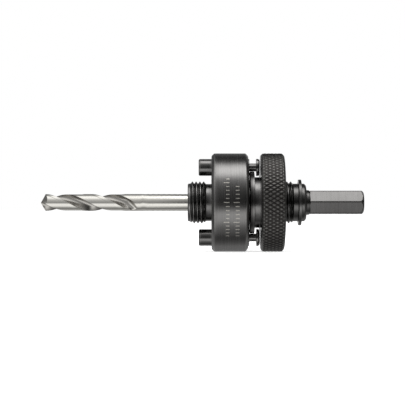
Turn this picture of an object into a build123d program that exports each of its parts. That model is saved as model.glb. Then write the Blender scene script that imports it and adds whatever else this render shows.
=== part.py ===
from build123d import *
import os
from math import cos, pi, radians, sin, sqrt, tan

# A hole saw arbor, in millimetres. Its axis is X, the pilot drill points to -X,
# and X 0 is the front face of the drive flange, where a hole saw seats.

# Standard sizes that other things have to fit
thread_d = 15.875  # five eighths inch thread over its crests, boss and spindle alike
drill_d = 6.35  # quarter inch pilot drill
hex_across_corners = 10.0
pin_nose_d = 6.35  # the part of a drive pin that enters the saw's hole

# Threaded boss in front of the flange
boss_length = 8.95
boss_face_d = 14.0
boss_neck_d = 14.0
boss_neck_length = 2.1
thread_chamfer = 0.75  # along the axis, at each end of a thread

# Drive flange
flange_d = 37.1  # the nut's rim has the same diameter
flange_length = 13.8
flange_chamfer = 1.0

# Spindle behind the flange
relief_length = 1.4
relief_d = 14.0
spindle_thread_length = 17.0  # flange to the end of the thread
end_land_d = 14.25
end_land_length = 4.85
end_land_chamfer = 0.7
collar_front_d = 9.6
collar_rear_d = 9.1
collar_length = 1.55
shank_length = 20.25
shank_chamfer = 1.2
shank_chamfer_end_d = 7.4
shank_turn = -3.0  # degrees from the place where an edge of the shank points straight to the view

# Retaining ring in its groove
ring_thickness = 1.1
ring_width = 2.025  # from its inside to its outside
ring_depth = 0.475  # how far it sits below the end land
ring_setback = 2.46  # end of the thread to the middle of the ring
ring_gap = 3.4
ring_edge_chamfer = 0.25

# Drive pins
pin_reach = 4.85  # how far a pin stands out of the flange's front face
pin_body_growth = 0.1  # the sliding part of a pin is this much wider than its nose
pin_groove_d = 3.0
pin_head_length = 1.2
pin_chamfer = 0.35

# Knurled nut
nut_gap = 0.75  # flange to the nut's front disc at rest
disc_thickness = 1.6
nut_neck_wall = 1.6  # from the nut's bore to the outside of its neck
rim_length = 9.0
rim_chamfer = 0.9
nut_bore_chamfer = 0.6

# Pilot drill
drill_overhang = 55.5  # tip to the boss's face
drill_plain_length = 18.8  # end of the cutter's path to the boss's face
drill_in_bore = 20.0
point_angle = 118.0
flute_lead = 34.8
flute_run_out = 7.5
core_start_r = 0.25  # inside the web, where the run-out begins
flute_facing = -50.5  # where the middle of a flute faces -Y
web_thickness = 1.05
flute_span = 92.0  # degrees of the circle that one flute opens
flute_heel_radius = 1.9
margin_width = 0.7
land_clearance = 0.13
drill_end_chamfer = 0.4

# Set screw that holds the drill
screw_d = 6.0
screw_length = 10.0
screw_socket_across_flats = 3.0
screw_socket_depth = 3.5
screw_point_chamfer = 0.8
screw_mouth_chamfer = 0.5
drill_flat_depth = 0.5
drill_flat_length = 5.5

# Clearances
running = 0.05  # radial, for what slides or turns in a bore
seat = 0.03  # radial, for the drill and the screw, which stay put
groove_play = 0.15  # in a pin's groove, in front of the disc
groove_slack = 0.7  # in a pin's groove, behind the disc
disc_edge_gap = 0.2  # disc's edge to the bottom of a pin's groove
head_gap = 0.35  # pin's rear end to the knurled rim
ring_play = 0.05  # at each side of the ring, and under it
bore_end_gap = 0.3  # drill's rear end to the end of its bore
bore_lead_in = 0.3  # chamfer at the mouth of a pin's bore
overshoot = 0.5  # how far a cutter reaches past what it cuts
same = 0.001  # lengths this close are the same

# Places along the axis that follow from the lengths
boss_front = -boss_length
flange_rear = flange_length
thread_end = flange_rear + spindle_thread_length
land_end = thread_end + end_land_length
collar_end = land_end + collar_length
shank_end = collar_end + shank_length
shank_corner_r = hex_across_corners / 2
shank_chamfer_end_r = shank_chamfer_end_d / 2
# the ball at the shank's end has its centre on the axis, this far in front of the chamfer
ball_lead = (shank_corner_r**2 - shank_chamfer_end_r**2 - shank_chamfer**2) / (2 * shank_chamfer)
ball_r = sqrt(ball_lead**2 + shank_corner_r**2)
ball_middle_r = sqrt(ball_r**2 - (ball_lead + shank_chamfer / 2) ** 2)
ring_middle = thread_end + ring_setback
nut_front = flange_rear + nut_gap
disc_rear = nut_front + disc_thickness
groove_front = nut_front - groove_play
groove_rear = disc_rear + groove_slack
pin_rear = groove_rear + pin_head_length
rim_front = pin_rear + head_gap
rim_rear = rim_front + rim_length
drill_tip = boss_front - drill_overhang
drill_rear = boss_front + drill_in_bore
flute_end = boss_front - drill_plain_length
screw_x = flange_length / 2

# Radii that follow from the fits
thread_r = thread_d / 2
drill_r = drill_d / 2
flange_r = flange_d / 2
pin_circle_r = (thread_r + flange_r) / 2  # midway between the thread and the flange's rim
pin_body_r = pin_nose_d / 2 + pin_body_growth / 2
pin_bore_r = pin_body_r + running
disc_r = pin_circle_r - pin_groove_d / 2 - disc_edge_gap
nut_bore_r = thread_r + running
nut_neck_r = nut_bore_r + nut_neck_wall
drill_bore_r = drill_r + seat
screw_hole_r = screw_d / 2 + seat
ring_inner_r = end_land_d / 2 - ring_depth
ring_outer_r = ring_inner_r + ring_width
flat_height = drill_r - drill_flat_depth
point_length = drill_r / tan(radians(point_angle / 2))


def on_circle(radius, angle):
    """A point of the sketch at this radius and angle in degrees."""
    return (radius * cos(radians(angle)), radius * sin(radians(angle)))


# The arbor body is turned in one piece: hex shank, boss, flange and spindle.
with BuildPart() as arbor_body:
    with BuildSketch(Plane.YZ.offset(collar_end)):
        RegularPolygon(radius=shank_corner_r, side_count=6, rotation=shank_turn)
    extrude(amount=shank_length)
    # the turned envelope ends in a ball, which leaves an arc on each flat at the end of the shank
    with BuildSketch(Plane.XZ):
        with BuildLine():
            Polyline(
                (shank_end, shank_chamfer_end_r),
                (shank_end, 0),
                (collar_end, 0),
                (collar_end, shank_corner_r),
                (shank_end - shank_chamfer, shank_corner_r),
            )
            ThreePointArc(
                (shank_end - shank_chamfer, shank_corner_r),
                (shank_end - shank_chamfer / 2, ball_middle_r),
                (shank_end, shank_chamfer_end_r),
            )
        make_face()
    revolve(axis=Axis.X, mode=Mode.INTERSECT)
    with BuildSketch(Plane.XZ):
        with BuildLine():
            Polyline(
                (boss_front, 0),
                (boss_front, boss_face_d / 2),
                (boss_front + thread_chamfer, thread_r),
                (-boss_neck_length - thread_chamfer, thread_r),
                (-boss_neck_length, boss_neck_d / 2),
                (0, boss_neck_d / 2),
                (0, flange_r - flange_chamfer),
                (flange_chamfer, flange_r),
                (flange_rear - flange_chamfer, flange_r),
                (flange_rear, flange_r - flange_chamfer),
                (flange_rear, relief_d / 2),
                (flange_rear + relief_length, relief_d / 2),
                (flange_rear + relief_length + thread_chamfer, thread_r),
                (thread_end - thread_chamfer, thread_r),
                (thread_end, end_land_d / 2),
                (land_end - end_land_chamfer, end_land_d / 2),
                (land_end, end_land_d / 2 - end_land_chamfer),
                (land_end, collar_front_d / 2),
                (collar_end, collar_rear_d / 2),
                (collar_end, 0),
                close=True,
            )
        make_face()
    revolve(axis=Axis.X)
    # groove for the retaining ring
    with BuildSketch(Plane.YZ.offset(ring_middle)):
        Circle(ring_outer_r)
        Circle(ring_inner_r - ring_play, mode=Mode.SUBTRACT)
    extrude(amount=ring_thickness / 2 + ring_play, both=True, mode=Mode.SUBTRACT)
    # bore for the drill, with the cone that a drill leaves at its end
    bore_end = drill_rear + bore_end_gap
    bore_cone = drill_bore_r / tan(radians(point_angle / 2))
    with BuildSketch(Plane.XZ):
        with BuildLine():
            Polyline(
                (boss_front, 0),
                (boss_front, drill_bore_r),
                (bore_end, drill_bore_r),
                (bore_end + bore_cone, 0),
                close=True,
            )
        make_face()
    revolve(axis=Axis.X, mode=Mode.SUBTRACT)
    # bores for the two drive pins
    with BuildSketch(Plane.YZ):
        with PolarLocations(pin_circle_r, 2, start_angle=90):
            Circle(pin_bore_r)
    extrude(amount=flange_length, mode=Mode.SUBTRACT)
    bore_mouths = (
        arbor_body.edges()
        .filter_by(GeomType.CIRCLE)
        .filter_by(lambda e: abs(e.radius - pin_bore_r) < same)
    )
    chamfer(bore_mouths, bore_lead_in)
    # tapped hole for the set screw, on the side away from the view
    with BuildSketch(Plane.XZ.offset(-flange_r)):
        with Locations((screw_x, 0)):
            Circle(screw_hole_r)
    extrude(amount=flange_r, mode=Mode.SUBTRACT)


def flute_section(plane):
    """One flute and the relief of the land behind it, as the cutter sees them along the axis."""
    outside = drill_r + overshoot
    land_r = drill_r - land_clearance
    lip = sqrt(drill_r**2 - (web_thickness / 2) ** 2)
    margin_angle = 180 - margin_width / (pi * drill_d) * 360
    with BuildSketch(plane) as section:
        with BuildLine():
            rake = Line((outside, web_thickness / 2), (lip - flute_heel_radius, web_thickness / 2))
            TangentArc(rake @ 1, on_circle(land_r, flute_span), tangent=(-1, 0))
            relief = CenterArc((0, 0), land_r, flute_span, margin_angle - flute_span)
            way_out = Line(relief @ 1, on_circle(outside, margin_angle))
            RadiusArc(way_out @ 1, rake @ 0, outside)
        make_face()
    return section.sketch


# The flute cutter: a section that turns once in each lead, stopped short by a core that rises to
# the full diameter, so that the flutes run out as a grinding wheel leaves them.
cutter_start = drill_tip - point_length
cutter_turn = (cutter_start - flute_facing) / flute_lead * 360
with BuildPart() as flute_cutter:
    with BuildLine() as along:
        Line((cutter_start, 0, 0), (flute_end, 0, 0))
    with BuildLine(mode=Mode.PRIVATE) as guide:
        Helix(
            flute_lead,
            flute_end - cutter_start,
            drill_r,
            center=(cutter_start, 0, 0),
            direction=(1, 0, 0),
        )
    for half_turn in (0, 180):
        facing = Plane(
            origin=(cutter_start, 0, 0),
            x_dir=Vector(0, -1, 0).rotate(Axis.X, cutter_turn + flute_span / 2 + half_turn),
            z_dir=(-1, 0, 0),
        )
        sweep(sections=flute_section(facing), path=along.line, binormal=guide.edge())
    with BuildSketch(Plane.XZ):
        with BuildLine():
            core_start = (flute_end - flute_run_out, core_start_r)
            core_end = (flute_end, drill_r + overshoot)
            TangentArc(core_start, core_end, tangent=(1, 0))
            Polyline(
                core_end,
                (flute_end + overshoot, drill_r + overshoot),
                (flute_end + overshoot, 0),
                (flute_end - flute_run_out, 0),
                core_start,
            )
        make_face()
    revolve(axis=Axis.X, mode=Mode.SUBTRACT)

# The pilot drill: a round bar with two helical flutes, a ground point and a flat for the screw.
with BuildPart() as pilot_drill:
    with BuildSketch(Plane.XZ):
        with BuildLine():
            Polyline(
                (drill_tip, 0),
                (drill_tip + point_length, drill_r),
                (drill_rear - drill_end_chamfer, drill_r),
                (drill_rear, drill_r - drill_end_chamfer),
                (drill_rear, 0),
                close=True,
            )
        make_face()
    revolve(axis=Axis.X)
    with Locations((screw_x, flat_height, 0)):
        Box(
            drill_flat_length,
            drill_d,
            drill_d,
            align=(Align.CENTER, Align.MIN, Align.CENTER),
            mode=Mode.SUBTRACT,
        )
    add(flute_cutter.part, mode=Mode.SUBTRACT)

# The set screw: a headless screw with a hex socket, pressed on the drill's flat.
with BuildPart() as drill_set_screw:
    screw_top = flat_height + screw_length
    with BuildSketch(Plane.XZ.offset(-flat_height)):
        with Locations((screw_x, 0)):
            Circle(screw_d / 2)
    extrude(amount=-screw_length)
    chamfer(faces().sort_by(Axis.Y)[0].edges(), screw_point_chamfer)
    chamfer(faces().sort_by(Axis.Y)[-1].edges(), screw_mouth_chamfer)
    with BuildSketch(Plane.XZ.offset(-screw_top)):
        with Locations((screw_x, 0)):
            RegularPolygon(screw_socket_across_flats / 2, side_count=6, major_radius=False)
    extrude(amount=screw_socket_depth, mode=Mode.SUBTRACT)


def drive_pin(side):
    """A turned pin with a groove for the nut's disc, above the axis for side 1 and below for -1."""
    middle = side * pin_circle_r
    nose_r = pin_nose_d / 2
    with BuildPart() as pin:
        with BuildSketch(Plane.XZ):
            with BuildLine():
                Polyline(
                    (-pin_reach, middle),
                    (-pin_reach, middle + nose_r - pin_chamfer),
                    (-pin_reach + pin_chamfer, middle + nose_r),
                    (0, middle + nose_r),
                    (0, middle + pin_body_r),
                    (groove_front, middle + pin_body_r),
                    (groove_front, middle + pin_groove_d / 2),
                    (groove_rear, middle + pin_groove_d / 2),
                    (groove_rear, middle + pin_body_r),
                    (pin_rear - pin_chamfer, middle + pin_body_r),
                    (pin_rear, middle + pin_body_r - pin_chamfer),
                    (pin_rear, middle),
                    close=True,
                )
            make_face()
        revolve(axis=Axis((0, 0, middle), (1, 0, 0)))
    return pin


drive_pin_upper = drive_pin(1)
drive_pin_lower = drive_pin(-1)

# The nut: a front disc that runs in both pins' grooves, a neck, and the rim that is turned by hand.
with BuildPart() as knurled_nut:
    with BuildSketch(Plane.XZ):
        with BuildLine():
            Polyline(
                (nut_front, nut_bore_r + nut_bore_chamfer),
                (nut_front, disc_r),
                (disc_rear, disc_r),
                (disc_rear, nut_neck_r),
                (rim_front, nut_neck_r),
                (rim_front, flange_r - rim_chamfer),
                (rim_front + rim_chamfer, flange_r),
                (rim_rear - rim_chamfer, flange_r),
                (rim_rear, flange_r - rim_chamfer),
                (rim_rear, nut_bore_r + nut_bore_chamfer),
                (rim_rear - nut_bore_chamfer, nut_bore_r),
                (nut_front + nut_bore_chamfer, nut_bore_r),
                close=True,
            )
        make_face()
    revolve(axis=Axis.X)

# The retaining ring: a flat open ring, its gap on the side away from the view.
with BuildPart() as retaining_ring:
    with BuildSketch(Plane.YZ.offset(ring_middle)):
        Circle(ring_outer_r)
        Circle(ring_inner_r, mode=Mode.SUBTRACT)
        with Locations((ring_outer_r, 0)):
            Rectangle(ring_outer_r, ring_gap, mode=Mode.SUBTRACT)
    extrude(amount=ring_thickness / 2, both=True)
    outer_edges = retaining_ring.edges().filter_by(GeomType.CIRCLE).group_by(lambda e: e.radius)[-1]
    chamfer(outer_edges, ring_edge_chamfer)

pieces = {
    "arbor_body": arbor_body,
    "pilot_drill": pilot_drill,
    "drill_set_screw": drill_set_screw,
    "drive_pin_upper": drive_pin_upper,
    "drive_pin_lower": drive_pin_lower,
    "knurled_nut": knurled_nut,
    "retaining_ring": retaining_ring,
}
os.makedirs("parts", exist_ok=True)
for name, piece in pieces.items():
    piece.part.label = name
    export_step(piece.part, f"parts/{name}.step")
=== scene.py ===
import math

import bpy
import numpy as np
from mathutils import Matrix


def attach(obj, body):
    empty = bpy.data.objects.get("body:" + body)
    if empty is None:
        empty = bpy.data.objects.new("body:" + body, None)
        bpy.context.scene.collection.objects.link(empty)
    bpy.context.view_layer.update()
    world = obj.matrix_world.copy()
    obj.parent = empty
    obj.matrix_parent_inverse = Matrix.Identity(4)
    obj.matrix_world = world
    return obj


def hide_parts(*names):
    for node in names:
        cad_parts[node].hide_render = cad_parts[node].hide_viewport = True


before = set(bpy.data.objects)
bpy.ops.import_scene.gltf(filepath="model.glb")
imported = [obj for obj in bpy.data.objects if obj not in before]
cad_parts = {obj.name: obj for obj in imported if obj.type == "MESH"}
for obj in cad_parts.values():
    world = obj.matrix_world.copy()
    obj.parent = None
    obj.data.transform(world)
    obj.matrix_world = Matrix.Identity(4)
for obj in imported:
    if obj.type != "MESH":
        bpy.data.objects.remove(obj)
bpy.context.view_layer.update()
mm = 0.001
toRadians = math.pi / 180
fullTurn = 2 * math.pi
sixth, twelfth = fullTurn / 6, fullTurn / 12
sharpDegrees = 30

# The camera looks along +Y at the middle of the arbor, from where the photograph was taken.
cameraSet = {"x": -3.4, "distance": 590.0, "lens": 138.7, "sensor": 36.0, "clip": (0.01, 20)}


def placeCamera(look):
    data = bpy.data.cameras.new("camera")
    data.lens, data.sensor_width = look["lens"], look["sensor"]
    data.clip_start, data.clip_end = look["clip"]
    camera = bpy.data.objects.new("camera", data)
    camera.location = (look["x"] * mm, -look["distance"] * mm, 0)
    camera.rotation_euler = (math.pi / 2, 0, 0)
    bpy.context.scene.collection.objects.link(camera)
    bpy.context.scene.camera = camera


placeCamera(cameraSet)
print("camera placed")


# Every piece is a grid of points: rows follow an outline, columns go round it. The rows are given
# in the order that turns the faces outwards. A pole closes a row that has shrunk to one point.
def makeMesh(name, rings, poles=(None, None), loop=False, caps=False, marks=None, sharp=sharpDegrees):
    rows, columns = rings.shape[:2]
    row = np.arange(rows if loop else rows - 1)[:, None]
    column = np.arange(columns if not caps else columns - 1)[None, :]
    after, beside = (row + 1) % rows, (column + 1) % columns
    here, there = row * columns, after * columns
    quads = np.stack([here + column, here + beside, there + beside, there + column], axis=-1)
    faces = quads.reshape(-1, 4).tolist()
    points = rings.reshape(-1, 3)
    ring = np.arange(columns)
    nextRing = (ring + 1) % columns
    last = (rows - 1) * columns
    for pole, low, high in ((poles[0], nextRing, ring), (poles[1], last + ring, last + nextRing)):
        if pole is not None:
            tip = np.full(columns, len(points))
            points = np.vstack([points, pole])
            faces += np.stack([tip, low, high], axis=1).tolist()
    if caps:  # an open ring is closed by one face at each end
        faces += [(np.arange(rows) * columns).tolist()]
        faces += [(np.arange(rows)[::-1] * columns + columns - 1).tolist()]
    mesh = bpy.data.meshes.new(name)
    mesh.from_pydata((points * mm).tolist(), [], faces)
    for label, values in (marks or {}).items():
        layer = mesh.attributes.new(label, "FLOAT", "POINT")
        flat = np.asarray(values, np.float32).ravel()
        layer.data.foreach_set("value", np.pad(flat, (0, len(points) - len(flat)), mode="edge"))
    mesh.shade_smooth()
    mesh.set_sharp_from_angle(angle=sharp * toRadians)
    mesh.validate()
    piece = bpy.data.objects.new(name, mesh)
    bpy.context.scene.collection.objects.link(piece)
    return piece


# Outline with eased corners: each corner (x, radius, ease) becomes a quadratic curve that starts
# and ends "ease" before and after it, and its middle is marked as rubbed where it stands proud.
def easedOutline(corners, curvePoints=5, mostOfSide=0.45):
    corner = np.asarray(corners, float)
    spot, ease = corner[:, :2], corner[:, 2]
    back, on = np.roll(spot, 1, 0) - spot, np.roll(spot, -1, 0) - spot
    backLength = np.maximum(np.hypot(*back.T), 1e-9)
    onLength = np.maximum(np.hypot(*on.T), 1e-9)
    reach = np.minimum(ease, mostOfSide * np.minimum(backLength, onLength))
    start = spot + back * (reach / backLength)[:, None]
    end = spot + on * (reach / onLength)[:, None]
    t = np.linspace(0, 1, curvePoints)[None, :, None]
    curve = (1 - t) ** 2 * start[:, None] + 2 * t * (1 - t) * spot[:, None] + t**2 * end[:, None]
    proud = (back[:, 0] * on[:, 1] - back[:, 1] * on[:, 0]) > 0
    rub = 4 * t[..., 0] * (1 - t[..., 0]) * proud[:, None] * (reach > 0.01)[:, None]
    flat = np.column_stack([curve.reshape(-1, 2), rub.ravel()])
    keep = np.r_[True, np.hypot(*np.diff(flat[:, :2], axis=0).T) > 1e-6]
    return flat[keep]


# Rows along the outline: its own points, and more between them, fine where x lies in a zone and
# the radius is past a limit, and coarse elsewhere. The last column is the distance along it.
def outlineRows(outline, coarse, fine=None, zones=(), outside=0.0, leastStep=0.012):
    along = np.r_[0, np.cumsum(np.hypot(*np.diff(outline[:, :2], axis=0).T))]
    more = np.arange(0, along[-1], coarse)
    if fine:
        close = np.arange(0, along[-1], fine)
        x = np.interp(close, along, outline[:, 0])
        radius = np.interp(close, along, outline[:, 1])
        inside = np.any([(x > low) & (x < high) for low, high in zones], axis=0)
        more = np.r_[more, close[inside & (radius > outside)]]
    every = np.unique(np.round(np.r_[along, more], 4))
    every = every[np.r_[True, np.diff(every) > leastStep]]
    columns = [np.interp(every, along, outline[:, i]) for i in range(3)]
    return np.column_stack(columns + [every])


# Screw thread: the height falls from crest to root with the distance from a helix that climbs one
# pitch in each turn, over flanks that are part straight and part eased at both ends.
def threadHeight(x, angle, pitch, crestAt=0.0, crestShare=0.1, rootShare=0.08, straight=0.35):
    saw = np.abs(((x - crestAt) / pitch - angle / fullTurn) % 1 - 0.5) * 2
    height = np.clip((saw - rootShare) / (1 - rootShare - crestShare), 0, 1)
    return straight * height + (1 - straight) * height * height * (3 - 2 * height)


# Turned piece: each row's radius is carried round the axis, then changed by shape(x, r, angle).
# Marks that the materials read: the rubbed mark, lighter on proud corners and crests and on the nut's
# rim also a painted highlight; along; and the shade mark, painted shade that is 1 at the bottom of a
# thread or of the knurl and less on faces that are only darker.
def turnedRings(rows, angle, shape=None):
    columns = len(angle)
    x = np.repeat(rows[:, :1], columns, axis=1)
    radius = np.repeat(rows[:, 1:2], columns, axis=1)
    wearAndSheen = np.repeat(rows[:, 2:3], columns, axis=1)
    paintedShade = np.zeros(x.shape)
    if shape:
        radius, wearAndSheen, paintedShade = shape(x, radius, angle[None, :], wearAndSheen, paintedShade)
    rings = np.stack([x, radius * np.cos(angle), radius * np.sin(angle)], axis=-1)
    marks = {"wearAndSheen": wearAndSheen, "paintedShade": paintedShade, "along": np.repeat(rows[:, 3:4], columns, axis=1)}
    return rings, marks


def turnedPiece(name, rows, columns, shape=None, place=None, sharp=sharpDegrees):
    poles = [None, None]
    for end, index in ((0, 0), (1, -1)):
        if rows[index, 1] < 1e-6:
            poles[end] = np.array([rows[index, 0], 0.0, 0.0])
    inner = rows[(1 if poles[0] is not None else 0): (-1 if poles[1] is not None else None)]
    angle = np.arange(columns) * fullTurn / columns if isinstance(columns, int) else columns
    rings, marks = turnedRings(inner, angle, shape)
    if place:
        rings, poles = place(rings), [p if p is None else place(p) for p in poles]
    loop = poles[0] is None and poles[1] is None
    return makeMesh(name, rings, poles, loop, marks=marks, sharp=sharp)


# Swaps x and y of a turned piece, so that its axis is +Y; the sides are kept, so its faces stay
# outwards.
def alongY(points):
    return points[..., [1, 0, 2]] * np.array([-1, 1, 1])


# Takes what the cutters fill out of the piece's mesh.
def cutAway(piece, cutters):
    for cutter in cutters:
        cut = piece.modifiers.new("cut", "BOOLEAN")
        cut.operation, cut.solver, cut.object = "DIFFERENCE", "EXACT", cutter
    bpy.context.view_layer.update()
    graph = bpy.context.evaluated_depsgraph_get()
    finished = bpy.data.meshes.new_from_object(piece.evaluated_get(graph))
    piece.modifiers.clear()
    piece.data = finished
    for cutter in cutters:
        bpy.data.objects.remove(cutter)
    finished.set_sharp_from_angle(angle=sharpDegrees * toRadians)


# The arbor body, millimetres. One outline runs from the end of the drill's bore, out over the
# boss, the flange and the spindle, to the end of the shank.
arborSet = {
    "columns": 168,
    "rowStep": 1.5,
    "threadPitch": 25.4 / 18,
    "threadSteps": 13,
    "threadCrest": 7.9375,
    "threadRoot": 7.2,
    "threadLeast": 6.95,
    "threads": [(-8.95, -2.1, -7.55), (15.2, 30.8, 28.1)],  # from, to, and where a crest crosses +Y
    "hexCorner": 5.0,
    "hexRound": 0.45,
    "hexTurn": -3.0,
    "hexNear": (-2.9, -2.1, -1.4, -0.7, 0, 0.7, 1.4, 2.1, 2.9),
    # how much painted shade the end land, the shank's flats, its corners and its end get, where 1 is
    # as dark as a thread's root
    "landDark": 0.5, "flatDark": 0.2, "cornerDark": 0.8, "endDark": 0.85,
    "landStart": 30.6,
    "shankStart": 37.2,
    "pinCircle": 13.24375,
    "pinBore": 3.275,
    "boreMouth": 0.3,
    "flangeRear": 13.8,
    "screwPlace": 6.9,
    "screwHole": 3.03,
    "screwHoleAlong": (1.0, 18.35, 20.0),  # from the axis: its start, its mouth and past the rim
    "cutterColumns": 72,
    "outline": [
        (13.276, 0, 0), (11.35, 3.205, 0.1), (-8.95, 3.205, 0.2), (-8.95, 6.9, 0.35),
        (-8.6, 7.15, 0.15), (-8.1, 7.15, 0.15), (-7.35, 7.9375, 0.2), (-2.85, 7.9375, 0.2),
        (-2.1, 7.0, 0.2), (0, 7.0, 0.1), (0, 17.55, 0.35), (1, 18.55, 0.35), (12.8, 18.55, 0.35),
        (13.8, 17.55, 0.35), (13.8, 7.0, 0.1), (15.2, 7.0, 0.1), (15.95, 7.9375, 0.2),
        (30.05, 7.9375, 0.2), (30.8, 7.125, 0.15), (32.66, 7.125, 0.08), (32.66, 6.6, 0.05),
        (33.86, 6.6, 0.05), (33.86, 7.125, 0.08), (34.95, 7.125, 0.3), (35.65, 6.425, 0.3),
        (35.65, 4.8, 0.1), (36.9, 4.58, 0.1), (37.0, 4.4, 0.05), (37.2, 4.4, 0.02),
        (37.2, 5.0, 0.02), (56.2, 5.0, 0.02), (56.4, 4.85, 0), (56.6, 4.67, 0), (56.76, 4.51, 0),
        (56.92, 4.34, 0), (57.08, 4.16, 0), (57.24, 3.96, 0), (57.35, 3.8, 0), (57.45, 3.6, 0.1),
        (57.45, 0, 0),
    ],
}


# Rounded hexagon: a flat's distance over the cosine of the angle from its middle, and at each
# corner a circle whose middle stands in from the corner on the line to it. The second result is 1
# on the rounding and falls to 0 beside it.
def hexRadius(angle, corner, rounding):
    flat = corner * math.cos(twelfth)
    fromFlat = angle % sixth - twelfth
    fromCorner = twelfth - np.abs(fromFlat)
    middle = (flat - rounding) / math.cos(twelfth)
    reach = middle * np.cos(fromCorner) + np.sqrt(rounding**2 - (middle * np.sin(fromCorner)) ** 2)
    tangent = math.atan2(rounding / 2, middle + rounding * math.cos(twelfth))
    onCorner = np.clip(2 - fromCorner / tangent, 0, 1)
    return np.where(fromCorner < tangent, reach, flat / np.cos(fromFlat)), onCorner


# Columns round the body: even ones, and more of them on the rounded corners of the shank.
def bodyAngles(look, leastStep=0.004):
    even = np.arange(look["columns"]) * fullTurn / look["columns"]
    corner = np.arange(6)[:, None] * sixth + look["hexTurn"] * toRadians
    near = (corner + np.array(look["hexNear"]) * toRadians).ravel()
    every = np.sort(np.r_[even, near] % fullTurn)
    return every[np.r_[True, np.diff(every) > leastStep]]


# Body radius: the lower of the turned outline, the thread in its two zones, and the hexagon. The
# thread is rubbed over the upper third of its height.
def arborShape(x, radius, angle, wearAndSheen, paintedShade):
    look = arborSet
    crest, root, edge = look["threadCrest"], look["threadRoot"], 0.01
    for low, high, crestAt in look["threads"]:
        height = threadHeight(x, angle, look["threadPitch"], crestAt)
        thread = root + (crest - root) * height
        threaded = (x > low + edge) & (x < high - edge) & (radius > root - 0.1)
        wearAndSheen = np.where(threaded, np.clip(height * 3 - 2, 0, 1), wearAndSheen)
        # painted shade in the thread, full at its root
        paintedShade = np.where(threaded, 1 - height, paintedShade)
        radius = np.where(threaded, np.minimum(radius, thread), radius)
    turned = angle - look["hexTurn"] * toRadians
    hexagon, onCorner = hexRadius(turned, look["hexCorner"], look["hexRound"])
    start = look["shankStart"]
    shank = (x > start - edge) & (radius > 0.5)
    wearAndSheen = np.where(shank, 0, wearAndSheen)
    onEnd = shank & (radius < hexagon - edge) & (x > start + 1)
    # painted shade on the shank: a little on the flats, a dark line on the rounded corners, most on
    # the ball end
    beside = np.maximum(onCorner * look["cornerDark"], look["flatDark"])
    paintedShade = np.where(shank, np.where(onEnd, look["endDark"], beside), paintedShade)
    # painted shade on the end land before the shank
    paintedShade = np.where((x > look["landStart"]) & (x < start), look["landDark"], paintedShade)
    return np.where(shank, np.minimum(radius, hexagon), radius), wearAndSheen, paintedShade


# The bores for the pins and the hole for the set screw are cut out of the turned body; each
# cutter widens to the mouth of its hole and reaches 1 mm past it.
def makeArborBody():
    look = arborSet
    zones = [thread[:2] for thread in look["threads"]]
    fine = look["threadPitch"] / look["threadSteps"]
    outline = easedOutline(look["outline"])
    rows = outlineRows(outline, look["rowStep"], fine, zones, look["threadLeast"])
    body = turnedPiece("arborBody", rows, bodyAngles(look), arborShape)
    mouth, bore, rear = look["boreMouth"], look["pinBore"], look["flangeRear"]
    cutterStep = 2 * look["rowStep"]
    boreRows = outlineRows(easedOutline([
        (-1, 0, 0), (-1, bore + mouth + 1, 0), (mouth, bore, 0), (rear - mouth, bore, 0),
        (rear + 1, bore + mouth + 1, 0), (rear + 1, 0, 0),
    ]), cutterStep)
    cutters = [
        turnedPiece("boreCutter", boreRows, look["cutterColumns"],
                    place=lambda p, side=side: p + np.array([0, 0, side * look["pinCircle"]]))
        for side in (1, -1)
    ]
    hole, (start, holeMouth, end) = look["screwHole"], look["screwHoleAlong"]
    holeRows = outlineRows(easedOutline([
        (start, 0, 0), (start, hole, 0), (holeMouth, hole, 0), (end, hole + end - holeMouth, 0),
        (end, 0, 0),
    ]), cutterStep)
    shift = np.array([look["screwPlace"], 0, 0])
    cutters.append(turnedPiece("holeCutter", holeRows, look["cutterColumns"],
                               place=lambda p: alongY(p) + shift))
    cutAway(body, cutters)
    return body


arborBody = makeArborBody()
print("arbor body made")

# The pilot drill, millimetres. The section is drawn with the lip along its first axis.
drillSet = {
    "tip": -64.45, "radius": 3.175, "web": 1.05, "heelRound": 1.9, "landRadius": 3.045,
    "fluteSpan": 92.0, "marginWidth": 0.7, "lead": 34.8, "facing": -50.5,
    "fluteEnd": -27.75, "runOut": 6.6, "fadeFrom": 2.5, "pointAngle": 118.0,
    "relief": 12.0, "heelRelief": 36.0, "heelStart": 0.45, "rear": 11.05, "rearChamfer": 0.4,
    "flatHeight": 2.675, "flat": (4.15, 9.65),
    "rakePoints": 12, "arcPoints": 20, "landPoints": 22, "marginPoints": 9,
    "bodyStart": -61.6, "rowStep": 0.28, "fineRowsPast": 1.2, "plainRows": (-26, 4, 2.0),
    "pointRows": 7, "capRows": 22, "capInner": 0.06, "capLines": 3, "sharp": 28,
}


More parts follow.
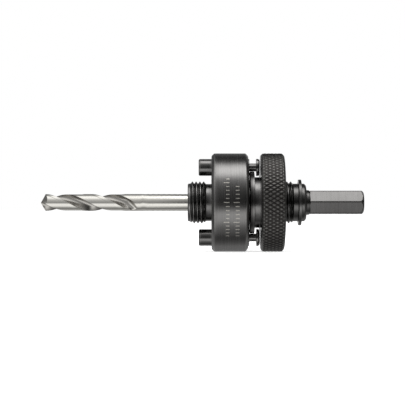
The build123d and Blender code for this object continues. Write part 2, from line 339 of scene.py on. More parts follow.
# Drill section: a straight rake line, a tangent arc down the flute and up to the heel, the land's
# lower radius, and the margin at full radius; the second half is the first turned by half a turn.
def drillSection(look):
    half = look["web"] / 2
    lip = math.sqrt(look["radius"] ** 2 - half**2)
    rakeEnd = lip - look["heelRound"]
    heelAngle = look["fluteSpan"] * toRadians
    heel = look["landRadius"] * np.array([math.cos(heelAngle), math.sin(heelAngle)])
    across, up = heel[0] - rakeEnd, heel[1] - half
    arcRadius = (across**2 + up**2) / (2 * up)
    arcStop = math.atan2(up - arcRadius, across) - fullTurn
    if arcStop < -fullTurn:
        arcStop += fullTurn
    turn = np.linspace(-math.pi / 2, arcStop, look["arcPoints"])
    rakeS = np.linspace(lip, rakeEnd, look["rakePoints"])[:-1]
    rake = np.column_stack([rakeS, np.full(len(rakeS), half)])
    arc = np.column_stack([
        rakeEnd + arcRadius * np.cos(turn), half + arcRadius + arcRadius * np.sin(turn)])
    marginStart = math.pi - look["marginWidth"] / look["radius"]
    marginEnd = math.pi + math.asin(half / look["radius"])
    land = np.linspace(heelAngle, marginStart, look["landPoints"])[1:]
    land = look["landRadius"] * np.column_stack([np.cos(land), np.sin(land)])
    margin = np.linspace(marginStart, marginEnd, look["marginPoints"])[:-1]
    margin = look["radius"] * np.column_stack([np.cos(margin), np.sin(margin)])
    onFlute = np.r_[np.ones(len(rake) + len(arc)), np.zeros(len(land) + len(margin))]
    oneSide = np.vstack([rake, arc, land, margin])
    return np.vstack([oneSide, -oneSide]), np.r_[onFlute, onFlute]


# Drill point: for each place of the section the highest of four planes, the two flanks behind the
# lips and the two steeper heels behind them; the flanks meet in the chisel edge.
def pointHeight(look, s, n):
    slope = 1 / math.tan(look["pointAngle"] / 2 * toRadians)
    soft, steep = math.tan(look["relief"] * toRadians), math.tan(look["heelRelief"] * toRadians)
    half, behind = look["web"] / 2, look["heelStart"]
    planes = []
    for side in (1, -1):
        flank = side * s * slope + (half - side * n) * soft
        heel = side * s * slope + (half + behind) * soft + (-behind - side * n) * steep
        planes += [flank, heel]
    return look["tip"] + np.max(planes, axis=0) - half * soft


# Twist: the section's place (s, n) at x is turned about the axis by one turn in each lead.
def twisted(look, x, s, n):
    twist = ((x - look["facing"]) / look["lead"] * 360 + look["fluteSpan"] / 2) * toRadians
    return np.stack([
        x,
        -s * np.cos(twist) - n * np.sin(twist),
        -s * np.sin(twist) + n * np.cos(twist),
    ], axis=-1)


# Drill body: near the flutes' end a lift that grows on an arc, as the cutter leaves, pushes the
# section out to the full round, and its points spread evenly round it.
def makePilotDrill(look):
    section, onFlute = drillSection(look)
    s, n = section.T
    reach, polar = np.hypot(s, n), np.unwrap(np.arctan2(n, s))
    half, heel = len(s) // 2, look["rakePoints"] + look["arcPoints"] - 2
    even = np.interp(np.arange(len(s)), [0, heel, half, half + heel, 2 * half], [
        polar[0], polar[heel], polar[0] + math.pi, polar[heel] + math.pi, polar[0] + fullTurn])
    edge = pointHeight(look, s, n)
    fluted = np.arange(look["bodyStart"], look["fluteEnd"] + look["fineRowsPast"], look["rowStep"])
    # two close rows at each end of the flat make a clean step
    flatRows = [place + side for place in look["flat"] for side in (-0.01, 0.01)]
    plain = np.r_[
        np.arange(*look["plainRows"]), flatRows, look["rear"] - look["rearChamfer"], look["rear"]]
    share = np.linspace(0, 1, look["pointRows"])[:-1, None]
    x = np.vstack([
        edge[None] * (1 - share) + fluted[0] * share,
        np.repeat(np.r_[fluted, np.sort(plain)][:, None], len(s), axis=1),
    ])
    runOut, fadeFrom = look["runOut"], look["fadeFrom"]
    start = look["fluteEnd"] - runOut
    rise = look["radius"] - look["web"] / 2
    arcRadius = (runOut**2 + rise**2) / (2 * rise)
    into = np.clip(x - start, 0, runOut)
    lift = arcRadius - np.sqrt(arcRadius**2 - into**2)
    fade = np.clip((x - start - fadeFrom) / (runOut - fadeFrom), 0, 1)
    radius = np.minimum(reach[None] + lift, look["radius"])
    radius[-1] -= look["rearChamfer"]
    bearing = polar[None] * (1 - fade) + even[None] * fade
    body = twisted(look, x, radius * np.cos(bearing), radius * np.sin(bearing))
    onFlat = (x > look["flat"][0]) & (x < look["flat"][1])
    body[..., 1] = np.where(onFlat, np.minimum(body[..., 1], look["flatHeight"]), body[..., 1])
    inward = np.linspace(look["capInner"], 1, look["capRows"])[:-1, None]
    capS, capN = s[None] * inward, n[None] * inward
    cap = twisted(look, pointHeight(look, capS, capN), capS, capN)
    around = np.r_[0, np.cumsum(np.hypot(*np.diff(section, axis=0).T))]
    inFlute = onFlute[None] * (1 - fade)
    capLines = np.repeat(inward, len(s), axis=1) * look["capLines"]
    lines = np.vstack([capLines, around[None] * inFlute + x * (1 - inFlute)])
    flute = np.vstack([np.zeros(capS.shape), inFlute])
    # the section runs right-handed about -X, so the columns are taken backwards
    rings = np.vstack([cap, body])[:, ::-1]
    marks = {"along": lines[:, ::-1], "flute": flute[:, ::-1]}
    poles = (np.array([look["tip"], 0, 0]), np.array([look["rear"], 0, 0]))
    return makeMesh("pilotDrill", rings, poles, marks=marks, sharp=look["sharp"])


pilotDrill = makePilotDrill(drillSet)
print("pilot drill made")

# The drive pins, millimetres, both from one outline.
pinSet = {
    "circle": 13.24375, "columns": 72, "rowStep": 0.8,
    "outline": [
        (-4.85, 0, 0), (-4.85, 2.825, 0.3), (-4.5, 3.175, 0.3), (0, 3.175, 0.02), (0, 3.225, 0.02),
        (14.25, 3.225, 0.12), (14.25, 1.5, 0.1), (16.85, 1.5, 0.1), (16.85, 3.225, 0.12),
        (17.7, 3.225, 0.25), (18.05, 2.875, 0.25), (18.05, 0, 0),
    ],
}


def makePin(name, side):
    rows = outlineRows(easedOutline(pinSet["outline"]), pinSet["rowStep"])
    shift = np.array([0, 0, side * pinSet["circle"]])
    return turnedPiece(name, rows, pinSet["columns"], place=lambda p: p + shift)


drivePins = [makePin("drivePinUpper", 1), makePin("drivePinLower", -1)]
print("drive pins made")

# The nut, millimetres. Its outline is closed: round the disc, the neck and the rim, back through
# the bore. Faces of the knurl stand between two families of grooves.
nutSet = {
    "columns": 600, "rowStep": 1.2, "rimRadius": 18.55, "rim": (18.4, 27.4), "rimLeast": 17.0,
    # how far in from the rim the knurl may reach, and from where the turned surface starts
    "rimDepth": 0.95, "turnedDepth": 0.9,
    "discFront": 14.9, "discDark": 0.9, "sharp": 38,
    "knurlRound": 75, "knurlAlong": 2.68, "knurlSteps": 16, "knurlDepth": 0.22, "knurlFlat": 0.2,
    "outline": [
        (14.3, 8.5875, 0.15), (14.3, 11.3, 0.2), (14.5, 11.7, 0.2), (16.15, 11.7, 0.2),
        (16.15, 9.5875, 0.15), (18.4, 9.5875, 0.15), (18.4, 17.65, 0.35), (19.3, 18.55, 0.3),
        (26.5, 18.55, 0.3), (27.4, 17.65, 0.35), (27.4, 8.5875, 0.2), (26.8, 7.9875, 0.1),
        (15.15, 7.9875, 0.1),
    ],
}


# Knurl: the height above the floor of its grooves is the lower of two zigzags, each climbing and
# falling with the distance from a family of helices, one right hand and one left hand. Its upper
# quarter is rubbed, and the rim's rubbed corners are made lighter still, a painted highlight on its
# chamfers. The knurl's grooves get painted shade, full at their bottom, and the disc a painted
# shade nearly as dark.
def nutShape(x, radius, angle, wearAndSheen, paintedShade):
    look = nutSet
    turns = angle / fullTurn * look["knurlRound"]
    travel = (x - sum(look["rim"]) / 2) / look["knurlAlong"]
    one = np.abs((turns + travel) % 1 - 0.5) * 2
    other = np.abs((turns - travel) % 1 - 0.5) * 2
    height = np.clip(np.minimum(one, other) / (1 - look["knurlFlat"]), 0, 1)
    surface = look["rimRadius"] - look["knurlDepth"] * (1 - height)
    onRim = radius > look["rimRadius"] - look["rimDepth"]
    # the rim's rubbed corners are made half again lighter: partly rubbing, partly a painted highlight
    # on the chamfers
    wearAndSheen = np.where(onRim, np.maximum(np.clip(height * 4 - 3, 0, 1), wearAndSheen * 1.5), wearAndSheen)
    # painted shade in the knurl's grooves, full at their bottom
    paintedShade = np.where(onRim & (surface < radius), 1 - height, paintedShade)
    # painted shade on the disc, for the shadow between the flange and the rim
    onDisc = (x < look["discFront"]) & (radius > look["rimRadius"] / 2)
    paintedShade = np.where(onDisc, look["discDark"], paintedShade)
    return np.where(onRim, np.minimum(radius, surface), radius), wearAndSheen, paintedShade


def makeNut(look):
    outline = easedOutline(look["outline"])
    outline = np.vstack([outline, outline[:1]])
    fine = look["knurlAlong"] / look["knurlSteps"]
    rows = outlineRows(outline, look["rowStep"], fine, (look["rim"],), look["rimLeast"])[:-1]
    return turnedPiece("knurledNut", rows, look["columns"], nutShape, sharp=look["sharp"])


knurledNut = makeNut(nutSet)
print("knurled nut made")

# The retaining ring, millimetres: a flat section carried round an open arc, with square ends.
ringSet = {
    "middle": 33.26, "thickness": 1.1, "inner": 6.65, "outer": 8.675, "gap": 3.4, "columns": 120,
    "edge": 0.22, "innerEdge": 0.06,
}


# Ring: each point of the section goes round from one side of the gap to the other, and starts at
# the arc sine of half the gap over its radius, so the gap's sides are parallel.
def makeRing(look):
    columns = look["columns"]
    front, rear = (look["middle"] + side * look["thickness"] / 2 for side in (-1, 1))
    outline = easedOutline([
        (front, look["inner"], look["innerEdge"]), (front, look["outer"], look["edge"]),
        (rear, look["outer"], look["edge"]), (rear, look["inner"], look["innerEdge"]),
    ])
    start = np.arcsin(look["gap"] / 2 / outline[:, 1])[:, None]
    share = np.linspace(0, 1, columns)[None]
    angle = start * (1 - share) + (fullTurn - start) * share
    x, radius = np.repeat(outline[:, :1], columns, 1), outline[:, 1:2]
    rings = np.stack([x, radius * np.cos(angle), radius * np.sin(angle)], axis=-1)
    marks = {"wearAndSheen": np.repeat(outline[:, 2:3], columns, 1), "along": np.repeat(radius, columns, 1)}
    return makeMesh("retainingRing", rings, loop=True, caps=True, marks=marks)


retainingRing = makeRing(ringSet)
print("retaining ring made")

# The set screw, millimetres along its own axis, which is turned to +Y.
screwSet = {
    "columns": 96, "place": 6.9, "pitch": 1.0, "crest": 2.99, "root": 2.45, "threadLeast": 2.3,
    "rowStep": 1.0, "fineStep": 0.08, "threaded": (3.0, 12.4), "rowLeast": 2.4,
    "socket": 1.5, "socketRound": 0.05, "socketFrom": 9.1, "socketMost": 1.75,
    "outline": [
        (2.675, 0, 0), (2.675, 2.2, 0.1), (3.475, 3.0, 0.1), (12.175, 3.0, 0.1),
        (12.675, 2.5, 0.1), (12.675, 1.76, 0.1), (12.6, 1.73, 0.05), (9.175, 1.73, 0.05),
        (9.0, 0, 0),
    ],
}


# Screw radius: the thread outside, and inside a hexagon given as the arbor's is.
def screwShape(x, radius, angle, wearAndSheen, paintedShade):
    look = screwSet
    thread = look["root"] + (look["crest"] - look["root"]) * threadHeight(x, angle, look["pitch"])
    hexagon = hexRadius(angle, look["socket"] / math.cos(twelfth), look["socketRound"])[0]
    outer = np.where(radius > look["threadLeast"], np.minimum(radius, thread), radius)
    inside = (x > look["socketFrom"]) & (radius < look["socketMost"])
    return np.where(inside, np.minimum(radius, hexagon), outer), wearAndSheen, paintedShade


def makeScrew(look):
    rows = outlineRows(
        easedOutline(look["outline"]), look["rowStep"], look["fineStep"], (look["threaded"],),
        look["rowLeast"])
    shift = np.array([look["place"], 0, 0])
    return turnedPiece("drillSetScrew", rows, look["columns"], screwShape,
                       place=lambda p: alongY(p) + shift)


drillSetScrew = makeScrew(screwSet)
print("set screw made")


# Colours are given as sRGB hex codes; the nodes take them as linear light.
def linearColour(code):
    parts = np.array([int(code[i:i + 2], 16) for i in (1, 3, 5)]) / 255
    parts = np.where(parts <= 0.04045, parts / 12.92, ((parts + 0.055) / 1.055) ** 2.4)
    return (*parts.tolist(), 1.0)


# Adds one node: settings go to its sockets or its properties, links join sockets to its inputs.
def addNode(tree, kind, settings=None, links=None):
    node = tree.nodes.new(kind)
    for key, value in (settings or {}).items():
        if isinstance(key, int) or key in node.inputs:
            node.inputs[key].default_value = value
        else:
            setattr(node, key, value)
    for key, socket in (links or {}).items():
        tree.links.new(socket, node.inputs[key])
    return node


def startMaterial(name):
    material = bpy.data.materials.new(name)
    material.use_nodes = True
    tree = material.node_tree
    tree.nodes.clear()
    return material, tree


# Places for the patterns: object space, and a space in which the piece's own distance along its
# outline counts for much and the way round it for little, so that noise is drawn out round it.
def turnedPlaces(tree, linesPerMm, roundPerMm=0.06):
    space = addNode(tree, "ShaderNodeTexCoord")
    along = addNode(tree, "ShaderNodeAttribute", {"attribute_name": "along"})
    apart = addNode(tree, "ShaderNodeSeparateXYZ", links={0: space.outputs["Object"]})
    scaled = [
        addNode(tree, "ShaderNodeMath", {"operation": "MULTIPLY", 1: scale}, {0: place})
        for place, scale in (
            (along.outputs["Fac"], linesPerMm),
            (apart.outputs["Y"], roundPerMm / mm),
            (apart.outputs["Z"], roundPerMm / mm),
        )
    ]
    joined = addNode(tree, "ShaderNodeCombineXYZ",
                     links={axis: node.outputs[0] for axis, node in enumerate(scaled)})
    return space.outputs["Object"], joined.outputs[0]


# Etched scale: plain ticks in even steps round the flange, in bands along it. A tick is where the
# arc length, angle times radius, comes within half its width of a whole number of steps, and its
# edge fades over a fifth of the width.
def tickMask(tree, ticks, space):
    apart = addNode(tree, "ShaderNodeSeparateXYZ", links={0: space})
    x, y, z = (apart.outputs[axis] for axis in "XYZ")
    front = addNode(tree, "ShaderNodeMath", {"operation": "MULTIPLY", 1: -1.0}, {0: y})
    angle = addNode(tree, "ShaderNodeMath", {"operation": "ARCTAN2"}, {0: z, 1: front.outputs[0]})
    whole = None
    for low, high, bottom, top, step in ticks["bands"]:
        steps = addNode(tree, "ShaderNodeMath", {"operation": "MULTIPLY", 1: ticks["radius"] / step},
                        {0: angle.outputs[0]})
        pulse = addNode(tree, "ShaderNodeMath", {"operation": "PINGPONG", 1: 0.5},
                        {0: steps.outputs[0]})
        share = ticks["width"] / step
        on = addNode(tree, "ShaderNodeMapRange", {"From Min": share * 0.6, "From Max": share * 0.4},
                     {"Value": pulse.outputs[0]})
        limits = ((x, low, high, mm), (angle.outputs[0], bottom, top, toRadians))
        for place, start, end, unit in limits:
            inside = addNode(tree, "ShaderNodeMath", {
                "operation": "COMPARE", 1: (start + end) / 2 * unit, 2: (end - start) / 2 * unit,
            }, {0: place})
            on = addNode(tree, "ShaderNodeMath", {"operation": "MULTIPLY"},
                         {0: on.outputs[0], 1: inside.outputs[0]})
        whole = on if whole is None else addNode(
            tree, "ShaderNodeMath", {"operation": "MAXIMUM"}, {0: whole.outputs[0], 1: on.outputs[0]})
    return whole.outputs[0]


# Blackened turned steel. Streaks follow the lathe tool round the piece, patches are the uneven
# depth of the black oxide, and corners and crests are rubbed to a lighter grey, which on the nut's
# rim is also a painted highlight. The colour is pulled to the floor colour by the shade mark:
# painted shade in thread roots, knurl grooves and shaded recesses. The eye gets a dark satin
# metal with bands of light drawn out along it.
def blackenedSteel(name, look, ticks=None):
    material, tree = startMaterial(name)
    space, turned = turnedPlaces(tree, look["streaksPerMm"])
    streak = addNode(tree, "ShaderNodeTexNoise", {"Scale": 1.0, "Detail": 3.0, "Roughness": 0.6},
                     {"Vector": turned})
    patch = addNode(tree, "ShaderNodeTexNoise", {
        "Scale": look["patchesPerMm"] / mm, "Detail": 4.0, "Roughness": 0.6,
    }, {"Vector": space})
    grit = addNode(tree, "ShaderNodeTexNoise", {"Scale": look["gritPerMm"] / mm, "Detail": 2.0},
                   {"Vector": space})
    both = addNode(tree, "ShaderNodeMix", {"data_type": "FLOAT", "Factor": look["patchShare"]},
                   {2: streak.outputs["Fac"], 3: patch.outputs["Fac"]})
    spread = addNode(tree, "ShaderNodeMapRange", {"From Min": 0.36, "From Max": 0.64},
                     {"Value": both.outputs[0]})
    coat = addNode(tree, "ShaderNodeMix", {
        "data_type": "RGBA", 6: linearColour(look["deep"]), 7: linearColour(look["pale"]),
    }, {"Factor": spread.outputs[0]})
    wearAndSheen = addNode(tree, "ShaderNodeAttribute", {"attribute_name": "wearAndSheen"})
    patchy = addNode(tree, "ShaderNodeMapRange", {"From Min": 0.35, "From Max": 0.62, "To Min": 0.25},
                     {"Value": grit.outputs["Fac"]})
    worn = addNode(tree, "ShaderNodeMath", {"operation": "MULTIPLY"},
                   {0: wearAndSheen.outputs["Fac"], 1: patchy.outputs[0]})
    rubbed = addNode(tree, "ShaderNodeMath", {"operation": "MULTIPLY", 1: look["rub"]},
                     {0: worn.outputs[0]})
    colour = addNode(tree, "ShaderNodeMix", {"data_type": "RGBA", 7: linearColour(look["bare"])},
                     {"Factor": rubbed.outputs[0], 6: coat.outputs[2]})
    # painted shade: the colour goes towards the floor colour as the shade mark rises
    paintedShade = addNode(tree, "ShaderNodeAttribute", {"attribute_name": "paintedShade"})
    deep = addNode(tree, "ShaderNodeMapRange", {"From Min": 0.1, "From Max": 0.7, "To Max": 0.9},
                   {"Value": paintedShade.outputs["Fac"]})
    colour = addNode(tree, "ShaderNodeMix", {"data_type": "RGBA", 7: linearColour(look["floor"])},
                     {"Factor": deep.outputs[0], 6: colour.outputs[2]})
    rough = addNode(tree, "ShaderNodeMapRange", {
        "From Min": 0.3, "From Max": 0.7,
        "To Min": look["rough"] - 0.02, "To Max": look["rough"] + 0.03,
    }, {"Value": streak.outputs["Fac"]})
    if ticks:
        etched = tickMask(tree, ticks, space)
        colour = addNode(tree, "ShaderNodeMix", {
            "data_type": "RGBA", 7: linearColour(ticks["colour"]),
        }, {"Factor": etched, 6: colour.outputs[2]})
        rough = addNode(tree, "ShaderNodeMix", {"data_type": "FLOAT", 3: ticks["rough"]},
                        {"Factor": etched, 2: rough.outputs[0]})
    height = addNode(tree, "ShaderNodeMix", {"data_type": "FLOAT", "Factor": look["gritShare"]},
                     {2: streak.outputs["Fac"], 3: grit.outputs["Fac"]})
    bump = addNode(tree, "ShaderNodeBump", {"Strength": look["bump"], "Distance": look["depth"] * mm},
                   {"Height": height.outputs[0]})
    surface = addNode(tree, "ShaderNodeBsdfPrincipled", {"Metallic": 1.0}, {
        "Base Color": colour.outputs[2], "Roughness": rough.outputs[0], "Normal": bump.outputs[0]})
    addNode(tree, "ShaderNodeOutputMaterial", links={"Surface": surface.outputs[0]})
    return material


# Ground high speed steel, left bright. Fine grinding lines run round the shank and along the
# flutes, so the shine is drawn out across them; the flutes are a little duller and rougher, and
# their colour goes towards a darker grey, painted shade for the shadow and dim reflections inside
# them.
def brightGroundSteel(name, look):
    material, tree = startMaterial(name)
    space, turned = turnedPlaces(tree, look["linesPerMm"])
    lines = addNode(tree, "ShaderNodeTexNoise", {"Scale": 1.0, "Detail": 2.0, "Roughness": 0.7},
                    {"Vector": turned})
    patch = addNode(tree, "ShaderNodeTexNoise", {"Scale": look["patchesPerMm"] / mm, "Detail": 3.0},
                    {"Vector": space})
    both = addNode(tree, "ShaderNodeMix", {"data_type": "FLOAT", "Factor": look["patchShare"]},
                   {2: lines.outputs["Fac"], 3: patch.outputs["Fac"]})
    colour = addNode(tree, "ShaderNodeMix", {
        "data_type": "RGBA", 6: linearColour(look["deep"]), 7: linearColour(look["pale"]),
    }, {"Factor": both.outputs[0]})
    # painted shade in the flutes: their colour goes towards a darker grey
    flute = addNode(tree, "ShaderNodeAttribute", {"attribute_name": "flute"})
    fluteShade = addNode(tree, "ShaderNodeMath", {"operation": "MULTIPLY", 1: look["fluteShadeShare"]},
                   {0: flute.outputs["Fac"]})
    colour = addNode(tree, "ShaderNodeMix", {"data_type": "RGBA", 7: linearColour(look["fluteShadeGrey"])},
                     {"Factor": fluteShade.outputs[0], 6: colour.outputs[2]})
    rough = addNode(tree, "ShaderNodeMapRange", {
        "To Min": look["rough"], "To Max": look["fluteRough"],
    }, {"Value": flute.outputs["Fac"]})
    uneven = addNode(tree, "ShaderNodeMath", {"operation": "MULTIPLY_ADD", 1: look["uneven"]},
                     {0: lines.outputs["Fac"], 2: rough.outputs[0]})
    bump = addNode(tree, "ShaderNodeBump", {"Strength": look["bump"], "Distance": look["depth"] * mm},
                   {"Height": lines.outputs["Fac"]})
    surface = addNode(tree, "ShaderNodeBsdfPrincipled", {"Metallic": 1.0}, {
        "Base Color": colour.outputs[2], "Roughness": uneven.outputs[0], "Normal": bump.outputs[0]})
    addNode(tree, "ShaderNodeOutputMaterial", links={"Surface": surface.outputs[0]})
    return material


# Tool marks and grit are drawn coarser than the real ones, 0.2 and 0.4 mm, so that they show. The
# depth of the marks is in millimetres too.
# floor is the colour of painted shade, in thread roots, knurl grooves and shaded recesses
bodySteel = {
    "deep": "#646362", "pale": "#747372", "bare": "#a9a8a5", "floor": "#454443", "rough": 0.25,
    "streaksPerMm": 5.0, "patchesPerMm": 0.16, "gritPerMm": 2.6, "patchShare": 0.35,
    "gritShare": 0.12, "rub": 0.3, "bump": 0.045, "depth": 0.02,
}
# the knurl's colours are darker than the body's, painted shade for the shadow between its diamonds
knurlSteel = dict(bodySteel, deep="#4c4b49", pale="#5c5b59", floor="#312f2e", rough=0.36,
                  rub=0.4, bump=0.08)
pinSteel = dict(bodySteel, deep="#605f5e", pale="#6b6a69", rough=0.2, bump=0.04)
ringSteel = dict(bodySteel, deep="#4f4e4d", pale="#686766", rough=0.28)
screwSteel = dict(bodySteel, deep="#4a4a4c", pale="#646567", rough=0.36)
# bands: from x to x in mm, from angle to angle in degrees up from the view, and mm from tick to tick
flangeTicks = {
    "radius": 18.55, "width": 0.34, "colour": "#b4b1aa", "rough": 0.5,
    "bands": [(5.2, 6.5, -45.0, 30.6, 1.5), (4.4, 5.21, -45.0, 30.6, 7.5),
              (8.8, 10.2, -42.0, 20.2, 1.5), (8.0, 8.81, -42.0, 20.2, 7.5)],
}
# the flute grey and its share are painted shade inside the flutes
drillSteel = {
    "deep": "#c8c6c0", "pale": "#d6d4ce", "rough": 0.14, "uneven": 0.08, "fluteRough": 0.25,
    "fluteShadeGrey": "#86837f", "fluteShadeShare": 0.6, "linesPerMm": 9.0, "patchesPerMm": 0.24,
    "patchShare": 0.4, "bump": 0.15, "depth": 0.01,
}

arborBlack = blackenedSteel("blackOxideTurnedSteel", bodySteel, flangeTicks)
nutBlack = blackenedSteel("blackOxideKnurledSteel", knurlSteel)
nutTurned = blackenedSteel("blackOxideTurnedNutSteel", bodySteel)
pinBlack = blackenedSteel("blackOxideGroundPinSteel", pinSteel)
ringBlack = blackenedSteel("blackenedSpringSteel", ringSteel)
screwBlack = blackenedSteel("blackOxideScrewSteel", screwSteel)
drillBright = brightGroundSteel("brightGroundDrillSteel", drillSteel)
print("materials made")

dressed = [
    (arborBody, arborBlack, "arbor", "arbor_body", "black_oxide_steel"),
    (pilotDrill, drillBright, "arbor", "pilot_drill", "bright_drill_steel"),
    (drillSetScrew, screwBlack, "arbor", "drill_set_screw", "black_screw_steel"),
    (drivePins[0], pinBlack, "drive_pins", "drive_pin_upper", "black_pin_steel"),
    (drivePins[1], pinBlack, "drive_pins", "drive_pin_lower", "black_pin_steel"),
    (knurledNut, nutBlack, "nut", "knurled_nut", "black_knurled_steel"),
    (retainingRing, ringBlack, "arbor", "retaining_ring", "spring_steel"),
]
for piece, material, body, node, slot in dressed:
    piece.data.materials.clear()
    piece.data.materials.append(material)
    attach(piece, body)
    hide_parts(node)
# the knurl is duller than the nut's turned faces, and darker, which is painted shade
knurledNut.data.materials.append(nutTurned)
spots = np.array([tuple(face.center) for face in knurledNut.data.polygons])
isTurned = np.hypot(spots[:, 1], spots[:, 2]) < (nutSet["rimRadius"] - nutSet["turnedDepth"]) * mm
knurledNut.data.polygons.foreach_set("material_index", isTurned.astype(np.int32))
print("pieces dressed")

# The stage, in metres, and the floor's grain in millimetres: a pale floor under a soft lamp, and
# round the object a tent of cards, which is what the metal mirrors. Its numbers are pairs of an
# angle round the object's axis, 0 towards the camera and 90 straight up, and how bright the card
# is there, where 1 is white paper.
stageSet = {
    "worldForDiffuse": 0.55,
    "floorHeight": -0.01857, "floorSize": 6.0, "floorColour": "#e4e4e4", "floorLift": 0.7,
    "grainPerMm": 0.9, "grainBump": 0.05, "grainDepth": 0.1,
    "lampPower": 9.0, "lampSize": (1.2, 0.7), "lampAngle": 80.0, "lampDistance": 0.9,
    "tentRadius": 0.25, "tentHalfLength": 0.3, "tentColumns": 180, "tentEnds": 0.16,
    "drillZone": (-0.022, -0.008), "farZone": (0.12, 0.16), "farMost": 0.6,
    "tentAtDrill": [
        (-180, 0.2), (-150, 0.5), (-136, 0.58), (-108, 0.42), (-96, 0.28), (-84, 0.26), (-72, 0.6),
        (-58, 1.02), (-40, 1.35), (-24, 1.32), (-15, 0.85), (-4, 0.38), (4, 0.38), (16, 0.55),
        (30, 0.62), (44, 0.82), (58, 1.3), (76, 1.55), (94, 1.45), (104, 1.0), (116, 0.45),
        (130, 0.22), (160, 0.15), (180, 0.2),
    ],
    "tent": [
        (-180, 1.3), (-172, 1.2), (-162, 0.4), (-150, 0.35), (-135, 0.42), (-122, 0.66),
        (-108, 0.42), (-94, 0.18), (-82, 0.17), (-72, 0.4), (-60, 0.42), (-50, 0.85), (-42, 1.5),
        (-24, 1.78), (-18, 1.15), (-12, 0.1), (0, 0.02), (12, 0.06), (26, 0.15), (36, 0.27),
        (45, 0.53), (51, 0.84), (56, 0.92), (60, 2.3), (68, 3.7), (80, 4.1), (90, 3.4), (97, 1.7),
        (103, 0.3), (112, 0.06), (124, 0.05), (140, 0.15), (162, 0.3), (172, 1.2), (180, 1.3),
    ],
}


# World: plain white where it is seen, mirrored or passed through, and dimmer as a light.
def placeWorld(look):
    world = bpy.data.worlds.new("studio")
    bpy.context.scene.world = world
    world.use_nodes = True
    tree = world.node_tree
    tree.nodes.clear()
    path = addNode(tree, "ShaderNodeLightPath")
    seen = path.outputs["Is Camera Ray"]
    for ray in ("Is Glossy Ray", "Is Transmission Ray"):
        seen = addNode(tree, "ShaderNodeMath", {"operation": "MAXIMUM"},
                       {0: seen, 1: path.outputs[ray]}).outputs[0]
    strength = addNode(tree, "ShaderNodeMapRange", {"To Min": look["worldForDiffuse"], "To Max": 1.0},
                       {"Value": seen})
    light = addNode(tree, "ShaderNodeBackground", {"Color": (1, 1, 1, 1)},
                    {"Strength": strength.outputs[0]})
    addNode(tree, "ShaderNodeOutputWorld", links={"Surface": light.outputs[0]})


# Tent: a drum about the object's axis. Its wall takes its brightness from the pairs, one set
# beside the drill and one beside the rest, and is held down far past the shank; each end fades
# from that at the rim to an even grey in the middle, with the square of the distance.
def placeTent(look):
    turn = np.linspace(-180, 180, look["tentColumns"] + 1)[:-1]
    besideDrill, besideRest = (
        np.interp(turn, *np.array(look[name]).T) for name in ("tentAtDrill", "tent"))
    toMiddle = [0.85, 0.65, 0.35, 0.02]
    share = np.array(toMiddle[::-1] + [1.0] * 6 + toMiddle)[:, None]
    half, endRows = look["tentHalfLength"], len(toMiddle) + 1
    zones = list(look["drillZone"] + look["farZone"])
    side = np.array([-half] * endRows + zones + [half] * endRows)[:, None]
    wall = np.where(side < sum(look["drillZone"]) / 2, besideDrill, besideRest)
    wall = np.where(side > sum(look["farZone"]) / 2, np.minimum(wall, look["farMost"]), wall)
    angle = turn[None] * toRadians
    radius = share * look["tentRadius"]
    places = [side + 0 * angle, -radius * np.cos(angle), radius * np.sin(angle)]
    rings = np.stack(places, axis=-1) / mm
    glow = look["tentEnds"] + (wall - look["tentEnds"]) * share**2
    tent = makeMesh("lightTent", rings, marks={"glow": glow})
    material, tree = startMaterial("tentCloth")
    bright = addNode(tree, "ShaderNodeAttribute", {"attribute_name": "glow"})
    cloth = addNode(tree, "ShaderNodeEmission", {"Color": (1, 1, 1, 1)},
                    {"Strength": bright.outputs["Fac"]})
    addNode(tree, "ShaderNodeOutputMaterial", links={"Surface": cloth.outputs[0]})
    tent.data.materials.append(material)
    tent.visible_camera = tent.visible_diffuse = tent.visible_shadow = False


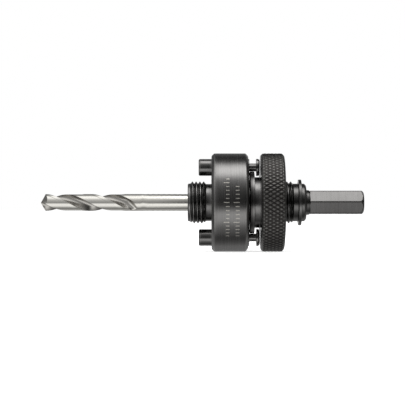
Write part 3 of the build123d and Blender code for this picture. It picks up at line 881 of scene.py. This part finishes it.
# Lamp: high over the object, for the soft shadow under it. The metal doesn't mirror it.
def placeLamp(look):
    data = bpy.data.lights.new("softLamp", "AREA")
    data.shape, data.size, data.size_y = "RECTANGLE", *look["lampSize"]
    data.energy = look["lampPower"]
    lamp = bpy.data.objects.new("softLamp", data)
    angle, distance = look["lampAngle"] * toRadians, look["lampDistance"]
    lamp.location = (0, -distance * math.cos(angle), distance * math.sin(angle))
    lamp.rotation_euler = (math.pi / 2 - angle, 0, 0)
    lamp.visible_glossy = False
    bpy.context.scene.collection.objects.link(lamp)


# Floor: matt paper that keeps the object's shadow, lifted to white where the camera sees it.
def placeFloor(look):
    material, tree = startMaterial("floorPaper")
    path = addNode(tree, "ShaderNodeLightPath")
    grain = addNode(tree, "ShaderNodeTexNoise", {"Scale": look["grainPerMm"] / mm, "Detail": 2.0})
    bump = addNode(tree, "ShaderNodeBump", {
        "Strength": look["grainBump"], "Distance": look["grainDepth"] * mm,
    }, {"Height": grain.outputs["Fac"]})
    paper = addNode(tree, "ShaderNodeBsdfDiffuse", {"Color": linearColour(look["floorColour"])},
                    {"Normal": bump.outputs[0]})
    lift = addNode(tree, "ShaderNodeMath", {"operation": "MULTIPLY", 1: look["floorLift"]},
                   {0: path.outputs["Is Camera Ray"]})
    glow = addNode(tree, "ShaderNodeEmission", {"Color": (1, 1, 1, 1)}, {"Strength": lift.outputs[0]})
    whole = addNode(tree, "ShaderNodeAddShader", links={0: paper.outputs[0], 1: glow.outputs[0]})
    addNode(tree, "ShaderNodeOutputMaterial", links={"Surface": whole.outputs[0]})
    half, height = look["floorSize"] / 2, look["floorHeight"]
    corners = [(x * half, y * half, height) for x, y in ((-1, -1), (1, -1), (1, 1), (-1, 1))]
    mesh = bpy.data.meshes.new("floor")
    mesh.from_pydata(corners, [], [(0, 1, 2, 3)])
    mesh.materials.append(material)
    floor = bpy.data.objects.new("floor", mesh)
    bpy.context.scene.collection.objects.link(floor)
    floor.visible_glossy = False


placeWorld(stageSet)
placeTent(stageSet)
placeLamp(stageSet)
placeFloor(stageSet)
bpy.context.scene.view_settings.view_transform = "Standard"
print("stage set")
